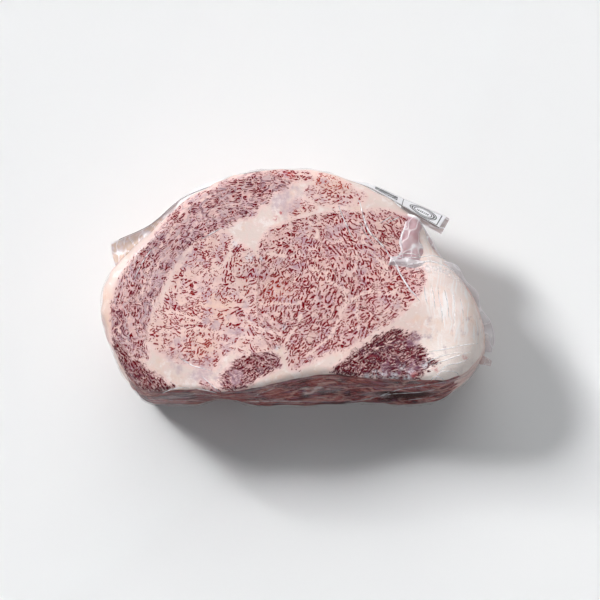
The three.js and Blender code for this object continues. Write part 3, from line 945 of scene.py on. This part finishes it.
# %% [markdown]
# ## Film material
#
# Film is modelled by how much it hides: its alpha is a few percent where it is clear and more along folds.
# One function ends the material of every piece of film.


# %% Film material
def finish_film(tint, alpha, whiter=0):
    """End a film's material; where whiter is 1 the film shows its own white instead of the tint."""
    finish(Base_Color=mix(whiter, tint, srgb(244, 240, 243)), Roughness=0.18, Alpha=alpha)


tree = start_material("tight_film", film)
mist = step(noise(position(), 0.05, 3, 0.6), 0.5, 0.75)
finish_film(srgb(232, 224, 228), read("fold") * 0.28 + (mist + read("sideways")) * 0.02)
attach(film, "root")
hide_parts("bagged_rib_roast")

# %% [markdown]
# ## Loose film
#
# Five pieces of the bag stand away from the meat: the web behind the label's left end, the ear over the
# upper right corner, the flattened seam round the fat tail, its puckered end, and the hem behind the label's
# right end. Each is a wrinkled sheet through rows of points.

# %% Rows of the loose film
CORNER_WEB = [
    [(-83.3, 69.6, 93), (-86, 63, 97), (-90, 56, 98)],
    [(-105.4, 50.5, 94), (-105, 46, 94), (-103, 38, 98)],
    [(-117, 44.5, 94), (-117, 37, 91), (-114, 27, 98)],
    [(-128.4, 39.4, 94), (-128, 31, 90), (-124, 17, 97)],
    [(-134.5, 36.5, 93), (-134, 28, 90), (-129, 14, 95)],
]
EAR = [
    [(85, 57, 106), (92, 54, 108), (97, 50, 94)],
    [(81, 44, 111.5), (92, 42, 109), (104, 39, 93)],
    [(78, 35, 112.5), (92, 34, 109.5), (107, 33, 92)],
    [(79, 28, 112), (95, 27, 109), (111, 27, 91)],
    [(73, 21, 110), (94, 21, 108), (119, 20, 89)],
]
SEAM_FIN = [
    [(70, 18, 108.5), (71, 21, 111), (72, 25, 108.5)],
    [(86, 16, 108), (87, 20, 111.5), (88, 25, 108)],
    [(101, 13, 102), (103, 18, 106.5), (105, 23, 104)],
    [(113, 10, 96), (117, 15, 99), (121, 20, 98)],
    [(122, 4, 90), (126, 7, 92), (129, 9, 91)],
    [(129, -4, 83), (134, -1, 86), (138, 1, 86)],
    [(134, -14, 78), (138, -12, 81), (141, -10, 80)],
    [(138, -25, 75), (144, -23, 77), (149, -20, 76)],
    [(141, -33, 73), (147, -33, 75), (152, -33, 73)],
    [(141, -42, 71), (147, -43, 72), (150, -43, 71)],
]
TUFT = [
    [(136, -42, 72), (136, -52, 70)],
    [(144, -45, 70), (143, -52, 68)],
    [(151, -49, 67), (150, -53, 66)],
]
HEM = [
    [(80, 60, 96), (84, 75, 69)],
    [(95, 51, 97), (100, 68, 71)],
    [(107, 44, 98), (117, 60.5, 72)],
    [(110, 42, 98), (119.5, 58.5, 72)],
]


# %% Build the loose film
def sheet_grid(rows, along, across):
    """A fine grid through rows of points: curved along the rows, then across each row."""
    rows = np.array(rows, float)
    lines = curve_at(rows.reshape(len(rows), -1), np.linspace(0, 1, along), False)
    lines = lines.reshape(along, -1, 3)
    return np.stack([curve_at(line, np.linspace(0, 1, across), False) for line in lines])


def sheet_faces(along, across):
    corners = [i * across + j for i in range(along - 1) for j in range(across - 1)]
    return [(c, c + across, c + across + 1, c + 1) for c in corners]


def sheet_normals(grid):
    along, across = np.gradient(grid, axis=0), np.gradient(grid, axis=1)
    normals = np.cross(along, across)
    return normals / np.linalg.norm(normals, axis=-1)[..., None]


def loose_film(name, rows, along, across, wrinkle, length, seed):
    """A wrinkled sheet that knows how close each point is to its border and to a ridge."""
    grid = sheet_grid(rows, along, across)
    w = waves(grid, length, seed)
    ridge = np.clip(1 - np.abs(w) * 2.2, 0, 1) ** 2
    i = np.arange(along)[:, None] / (along - 1)
    j = np.arange(across)[None, :] / (across - 1)
    border = np.minimum(np.minimum(i, 1 - i) * along / across, np.minimum(j, 1 - j)) * 2
    grid = grid + sheet_normals(grid) * (wrinkle * (w * 0.5 + ridge * 0.5) * smooth(border, 0, 0.3))[..., None]
    piece = new_object(name, to_frame(grid.reshape(-1, 3)), sheet_faces(along, across))
    put_attribute(piece, "ridge", ridge.ravel())
    put_attribute(piece, "border", border.ravel())
    return piece


LOOSE_FILM = {
    # rows, points along and across, height, length and seed of the wrinkles,
    # tint, second tint, alpha inside, added on ridges, added on the border
    "corner_web": (CORNER_WEB, 60, 26, 0.8, 11, 31, (214, 198, 202), (198, 160, 136), 0.7, 0.1, 0.2),
    "film_ear": (EAR, 70, 56, 0.9, 10, 32, (212, 182, 190), (200, 152, 164), 0.55, 0.35, 0.4),
    "seam_fin": (SEAM_FIN, 150, 18, 0.8, 13, 33, (232, 226, 229), (222, 210, 214), 0.6, 0.35, 0.5),
    "seam_tuft": (TUFT, 30, 24, 1.1, 5, 34, (224, 200, 198), (214, 176, 170), 0.6, 0.35, 0.3),
    "label_hem": (HEM, 40, 24, 0.4, 16, 35, (182, 160, 158), (166, 140, 138), 0.8, 0.15, 0.2),
}
loose = {}
for name, (*sheet, tint, second, clear, on_ridge, on_border) in LOOSE_FILM.items():
    piece = loose[name] = loose_film(name, *sheet)
    tree = start_material(name, piece)
    ridge, rim = read("ridge"), step(read("border"), 0.16, 0.02)
    blend = mix(step(noise(position(), 0.09), 0.4, 0.6), srgb(*tint), srgb(*second))
    finish_film(blend, ridge * on_ridge + clear + rim * on_border, greatest(ridge, rim))
    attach(piece, "root")
    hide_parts("bagged_rib_roast")
print("loose film:", ", ".join(loose))

# %% [markdown]
# ## The paper label
#
# The print is made of plain shapes only: rules, a block of upright bars and oval rings. The sheet carries a
# printing chart in millimetres: the way along from its right end, and the way down from its upper edge.

# %% Build the label
LABEL_STEPS, LABEL_ACROSS = 260, 16
PAPER_HALF = 0.2
label_grid = sheet_grid([[row[:3], row[3:]] for row in LABEL], LABEL_STEPS, LABEL_ACROSS)
label_normals = sheet_normals(label_grid)
step_along = np.linalg.norm(np.diff(label_grid, axis=0), axis=2).mean(1)
from_right = np.append(np.cumsum(step_along[::-1])[::-1], 0)
wide = np.linalg.norm(label_grid[:, -1] - label_grid[:, 0], axis=1)
chart = np.zeros(label_grid.shape)
chart[..., 0] = from_right[:, None]
chart[..., 1] = wide[:, None] * np.linspace(0, 1, LABEL_ACROSS)
outer = label_grid + label_normals * PAPER_HALF
inner = label_grid - label_normals * PAPER_HALF
count = LABEL_STEPS * LABEL_ACROSS
front = sheet_faces(LABEL_STEPS, LABEL_ACROSS)
number = np.arange(count).reshape(LABEL_STEPS, LABEL_ACROSS)
rim = np.concatenate([number[:, 0], number[-1, 1:], number[-2::-1, -1], number[0, -2:0:-1]]).tolist()
edges = [(a, a + count, b + count, b) for a, b in zip(rim, rim[1:] + rim[:1])]
faces = front + [tuple(c + count for c in reversed(face)) for face in front] + edges
paper = new_object("paper_strip", to_frame(np.vstack([outer.reshape(-1, 3), inner.reshape(-1, 3)])), faces)
put_attribute(paper, "chart", np.vstack([chart.reshape(-1, 3)] * 2))
put_attribute(paper, "printed", np.repeat((1, 0), count))
print("label:", round(from_right[0]), "mm long and", round(wide.mean()), "mm wide")

# %% [markdown]
# A stripe is 1 near a line of the chart and fades quickly beside it. The greatest of all the stripes, bars
# and rings is the ink.

# %% Print on the label
def stripe(value, middle, half, soft=0.12):
    """1 on a stripe of the given half width."""
    return step(abs(value - middle) - half, soft, -soft)


def bars(along, pitch, share):
    """Upright bars of uneven width, at an even pitch."""
    turn = along / pitch
    uneven = node("TexWhiteNoise", "Value", {"noise_dimensions": "1D"}, W=turn.reckon("FLOOR"))
    return step(turn.reckon("FRACT") - (uneven * 0.3 + share), 0.1, -0.1)


tree = start_material("printed_paper", paper)
chart = read("chart", "Vector")
along, down = parts(chart)[:2]
slanted = down * 0.25 + along
upright = stripe(down, 12.2, 10.9)
rules = greatest(stripe(down, 2, 0.45), stripe(down, 22.8, 0.22)) * step(along, 2.4, 2.6)
ends = greatest(stripe(along, 2.9, 0.4), stripe(along, 33.5, 0.3)) * upright
block = bars(slanted, 1.7, 0.68) * stripe(along, 47.5, 9.5) * stripe(down, 14.5, 5.8)
lines = bars(slanted, 1.1, 0.3) * stripe(along, 46, 8) * stripe(down, 8, 2.4) * 0.7
radius = length(join((along - 16.5) / 10.8, (down - 12.6) / 9.9, 0))
rings = [stripe(radius, *ring, 0.02) for ring in ((1, 0.045), (0.84, 0.06), (0.66, 0.04))]
inner_bars = bars(slanted, 1.5, 0.4) * stripe(down, 12, 1.7) * step(radius, 0.5, 0.45)
ink = greatest(rules, ends, block, lines, *rings, inner_bars) * read("printed")
finish(Roughness=0.55, Base_Color=layered(
    dimmed(srgb(246, 244, 247), step(noise(chart, 0.8, 3), 0.3, 0.7, 0.95, 1)),
    (ink * 0.95, srgb(20, 18, 20)),
    # painted shade: a dark brown band along the upper edge
    (step(down, 0.9, 0.5) * 0.9, srgb(84, 52, 44)),
))
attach(paper, "root")
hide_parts("paper_label")

# %% [markdown]
# ## Creases of the film
#
# A few long creases cross the cut face and the ear, each a narrow ribbon with a low ridge. We know its line
# only as the camera sees it, so a ray from the camera through each point finds its place on the film. Where
# a line runs straight down the rib side, the camera sees only a dot of it, so it fades out there.

# %% Lines of the creases
CREASES = [
    # half width, height, line as seen from above
    (3.6, 0.9, [(75, 20), (85, 17), (97, 16), (109, 14), (119, 9), (127, 1)]),
    (1, 0.8, [(48, 68), (50, 63), (52, 55), (54, 48), (57, 42), (63, 36), (68, 30), (72, 23)]),
    (0.9, 0.7, [(74, 21), (77, 15), (81, 8), (86, 0), (89, -3), (93, -8)]),
    (0.5, 0.5, [(72, 24), (76, 19), (79, 12), (84, 4)]),
    (0.5, 0.4, [(34, 62), (37, 54), (41, 45), (45, 36)]),
    (0.5, 0.4, [(49, 50), (54, 41), (60, 33)]),
    (0.5, 0.4, [(64, 49), (69, 52), (73, 54)]),
    (0.5, 0.4, [(69, 49), (75, 52), (79, 54)]),
    (0.5, 0.3, [(-82, -49), (-77, -52), (-72, -55), (-65, -57), (-58, -59)]),
    (0.5, 0.3, [(-66, -62), (-58, -69), (-52, -74)]),
    (0.55, 0.5, [(-96, -76), (-92, -74), (-87, -72), (-81, -71), (-74, -71)]),
    (0.55, 0.5, [(-72, -71), (-66, -72), (-60, -73), (-54, -75)]),
    (0.5, 0.3, [(-67, 37), (-60, 41), (-51, 46)]),
    (0.5, 0.3, [(-116, 6), (-108, 22), (-100, 33)]),
    (0.8, 0.6, [(86, 50), (82, 44), (80, 41), (80, 34), (81, 30)]),
    (0.6, 0.5, [(74, 22), (79, 26), (84, 27), (90, 26), (97, 23)]),
    (0.9, 0.7, [(78, 20), (85, 19), (93, 20), (101, 21), (110, 18), (121, 12)]),
    (0.6, 0.5, [(73, 24), (82, 24), (92, 24), (103, 25), (113, 22)]),
    (0.6, 0.6, [(99, -45), (111, -43), (125, -40), (135, -39)]),
    (0.6, 0.5, [(100, -55), (114, -50), (129, -45)]),
    (0.5, 0.4, [(93, -56), (103, -50), (113, -47), (124, -45)]),
    (0.6, 0.5, [(104, -62), (112, -55), (121, -53), (128, -50)]),
    (0.5, 0.5, [(103, -66), (107, -60), (113, -59), (119, -60), (122, -65)]),
    (0.5, 0.5, [(99, -68), (103, -63), (108, -64), (112, -68)]),
    (0.5, 0.05, [(101, 5), (103, -4), (104, -14)]),
    (0.5, 0.05, [(106, 4), (107, -6), (109, -17), (109, -24)]),
    (0.45, 0.05, [(96, 3), (97, -5), (99, -12)]),
    (0.5, 0.05, [(111, 0), (113, -10), (114, -20)]),
    (0.45, 0.05, [(117, -2), (118, -12), (118, -22), (117, -28)]),
    (0.45, 0.05, [(122, -6), (124, -15), (124, -25)]),
    (0.4, 0.4, [(38, -82), (60, -77.5), (78, -72), (100, -68.5), (113, -66)]),
    (0.3, 0.3, [(49, -80), (71, -75.5), (93, -74), (107, -71)]),
    (0.3, 0.3, [(82, -80), (93, -78.5), (104, -76)]),
    (0.3, 0.3, [(-34, -80.5), (-22, -74.5), (-9, -70)]),
    (0.3, 0.2, [(-104, -79), (-85, -80), (-60, -80.5), (-35, -81), (-10, -80.5), (15, -81), (36, -81)]),
]
CREASE_ACROSS = (-1, -0.5, 0, 0.5, 1)
CREASE_STEPS = 10
CREASE_LIFT = 0.12
BLUNT = 0.12
WIDE_CREASE = 1.5

# %% Drop the creases on to the roast
from mathutils.bvhtree import BVHTree

below = []
for piece in (film, loose["film_ear"], loose["seam_fin"]):
    points = [vertex.co.copy() for vertex in piece.data.vertices]
    below.append(BVHTree.FromPolygons(points, [tuple(face.vertices) for face in piece.data.polygons]))


def drop(point):
    """Where the line from the camera through a point at the height of the top first meets the roast."""
    through = Vector(to_frame(np.array([point[0], point[1], HEIGHT])))
    ray = (through - camera.location).normalized()
    hits = [shell.ray_cast(camera.location, ray) for shell in below]
    hits = [hit for hit in hits if hit[0] is not None] or [below[0].find_nearest(through)]
    place, normal = min(hits, key=lambda hit: hit[3])[:2]
    return np.array(place) / MM - SHIFT, np.array(normal) * (-1 if normal.dot(ray) > 0 else 1)


ribbon_points, ribbon_faces, ribbon_ridge = [], [], []
for half_width, height, line in CREASES:
    steps = CREASE_STEPS * (len(line) - 1) + 1
    centre = curve_at(line, np.linspace(0, 1, steps), False)
    heading = np.gradient(centre, axis=0)
    normal = np.c_[-heading[:, 1], heading[:, 0]] / np.linalg.norm(heading, axis=1)[:, None]
    taper = np.sin(np.linspace(BLUNT, math.pi - BLUNT, steps)) ** 0.5
    middle = [drop(point) for point in centre]
    fall = np.abs(np.gradient([place[2] for place, out in middle])) / np.linalg.norm(heading, axis=1)
    on_wall = smooth(-np.array([out[1] for place, out in middle]), 0.5, 0.8)
    shown = taper * (1 - on_wall * smooth(fall, 0.8, 2.2))
    offset = len(ribbon_points)
    for i in range(steps):
        for w in CREASE_ACROSS:
            place, out = drop(centre[i] + normal[i] * half_width * w * taper[i])
            ribbon_points.append(place + out * (CREASE_LIFT + height * (1 - w * w) * taper[i]))
            ribbon_ridge.append((1 - w * w) * shown[i] / max(1, half_width / WIDE_CREASE))
    across = len(CREASE_ACROSS)
    ribbon_faces += [tuple(offset + c for c in face) for face in sheet_faces(steps, across)]
creases = new_object("film_creases", to_frame(np.array(ribbon_points)), ribbon_faces)
put_attribute(creases, "ridge", np.array(ribbon_ridge))
tree = start_material("crease_film", creases)
breaks = step(noise(position(), 0.25), 0.35, 0.6, 0.35, 1)
# a crease's white is partly the film's own whitening at the fold and partly painted highlight
finish_film(srgb(240, 236, 239), read("ridge") * 1.1 * breaks)
creases.visible_shadow = False
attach(creases, "root")
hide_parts("bagged_rib_roast")
print("creases:", len(CREASES))

# %% [markdown]
# ## The floor and the light
#
# Four small lamps at different distances act as one deep lamp, a very soft one stands behind, and a dim
# surround fills the shadows. Near lamps make shadows that spread apart, but they light the floor unevenly:
# with the distance d, a floor point gets less light by d squared, and once more by d because the light comes
# in flatter. So the nodes of each lamp cancel the fall-off and multiply by the length of the ray.

# %% Floor and light
FLOOR_SIZE, FLOOR_GAP = 6, -0.0002
FLOOR_COLOUR = (0.8, 0.8, 0.8, 1)
SURROUND_COLOUR, SURROUND_STRENGTH = (0.95, 0.995, 1.03, 1), 0.28
half = FLOOR_SIZE / 2
corners = np.array([(-half, -half, 0), (half, -half, 0), (half, half, 0), (-half, half, 0)])
floor = new_object("floor", corners, [(0, 1, 2, 3)])
floor.location.z = FLOOR_GAP
tree = start_material("pale_floor", floor)
finish("BsdfDiffuse", Color=FLOOR_COLOUR)

world = bpy.data.worlds.new("surround")
world.use_nodes = True
background = world.node_tree.nodes["Background"]
background.inputs["Color"].default_value = SURROUND_COLOUR
background.inputs["Strength"].default_value = SURROUND_STRENGTH
bpy.context.scene.world = world

LAMPS = [
    # distance over the floor in metres, azimuth, elevation, share of the light
    (0.55, 143, 50, 0.23),
    (0.8, 150, 50, 0.15),
    (1.2, 143, 38, 0.13),
    (1.2, 143, 50, 0.11),
]
LAMP_RADIUS = 0.07
SOFT_LAMP = dict(azimuth=90, elevation=45, width=50, share=0.29)


def toward(azimuth, elevation):
    around, up = math.radians(azimuth), math.radians(elevation)
    return Vector((math.cos(up) * math.cos(around), math.cos(up) * math.sin(around), math.sin(up)))


def add_lamp(kind, energy):
    data = bpy.data.lights.new("lamp", kind)
    data.energy = energy
    lamp = bpy.data.objects.new("lamp", data)
    bpy.context.scene.collection.objects.link(lamp)
    return lamp


for distance, azimuth, elevation, share in LAMPS:
    spot = toward(azimuth, elevation) * (distance / math.cos(math.radians(elevation)))
    lamp = add_lamp("POINT", 4 * math.pi ** 2 * share / spot.z)
    lamp.location = spot
    lamp.data.shadow_soft_size = LAMP_RADIUS
    lamp.data.use_nodes = True
    tree = lamp.data.node_tree
    ray = tree.nodes.new("ShaderNodeLightPath")
    falloff = tree.nodes.new("ShaderNodeLightFalloff")
    tree.links.new(ray.outputs["Ray Length"], falloff.inputs["Strength"])
    tree.links.new(falloff.outputs["Constant"], tree.nodes["Emission"].inputs["Strength"])
soft = add_lamp("SUN", math.pi * SOFT_LAMP["share"])
soft.data.angle = math.radians(SOFT_LAMP["width"])
soft.rotation_mode = "QUATERNION"
soft.rotation_quaternion = toward(SOFT_LAMP["azimuth"], SOFT_LAMP["elevation"]).to_track_quat("Z", "Y")
bpy.context.scene.view_settings.view_transform = "Standard"
print(len(LAMPS) + 1, "lamps")
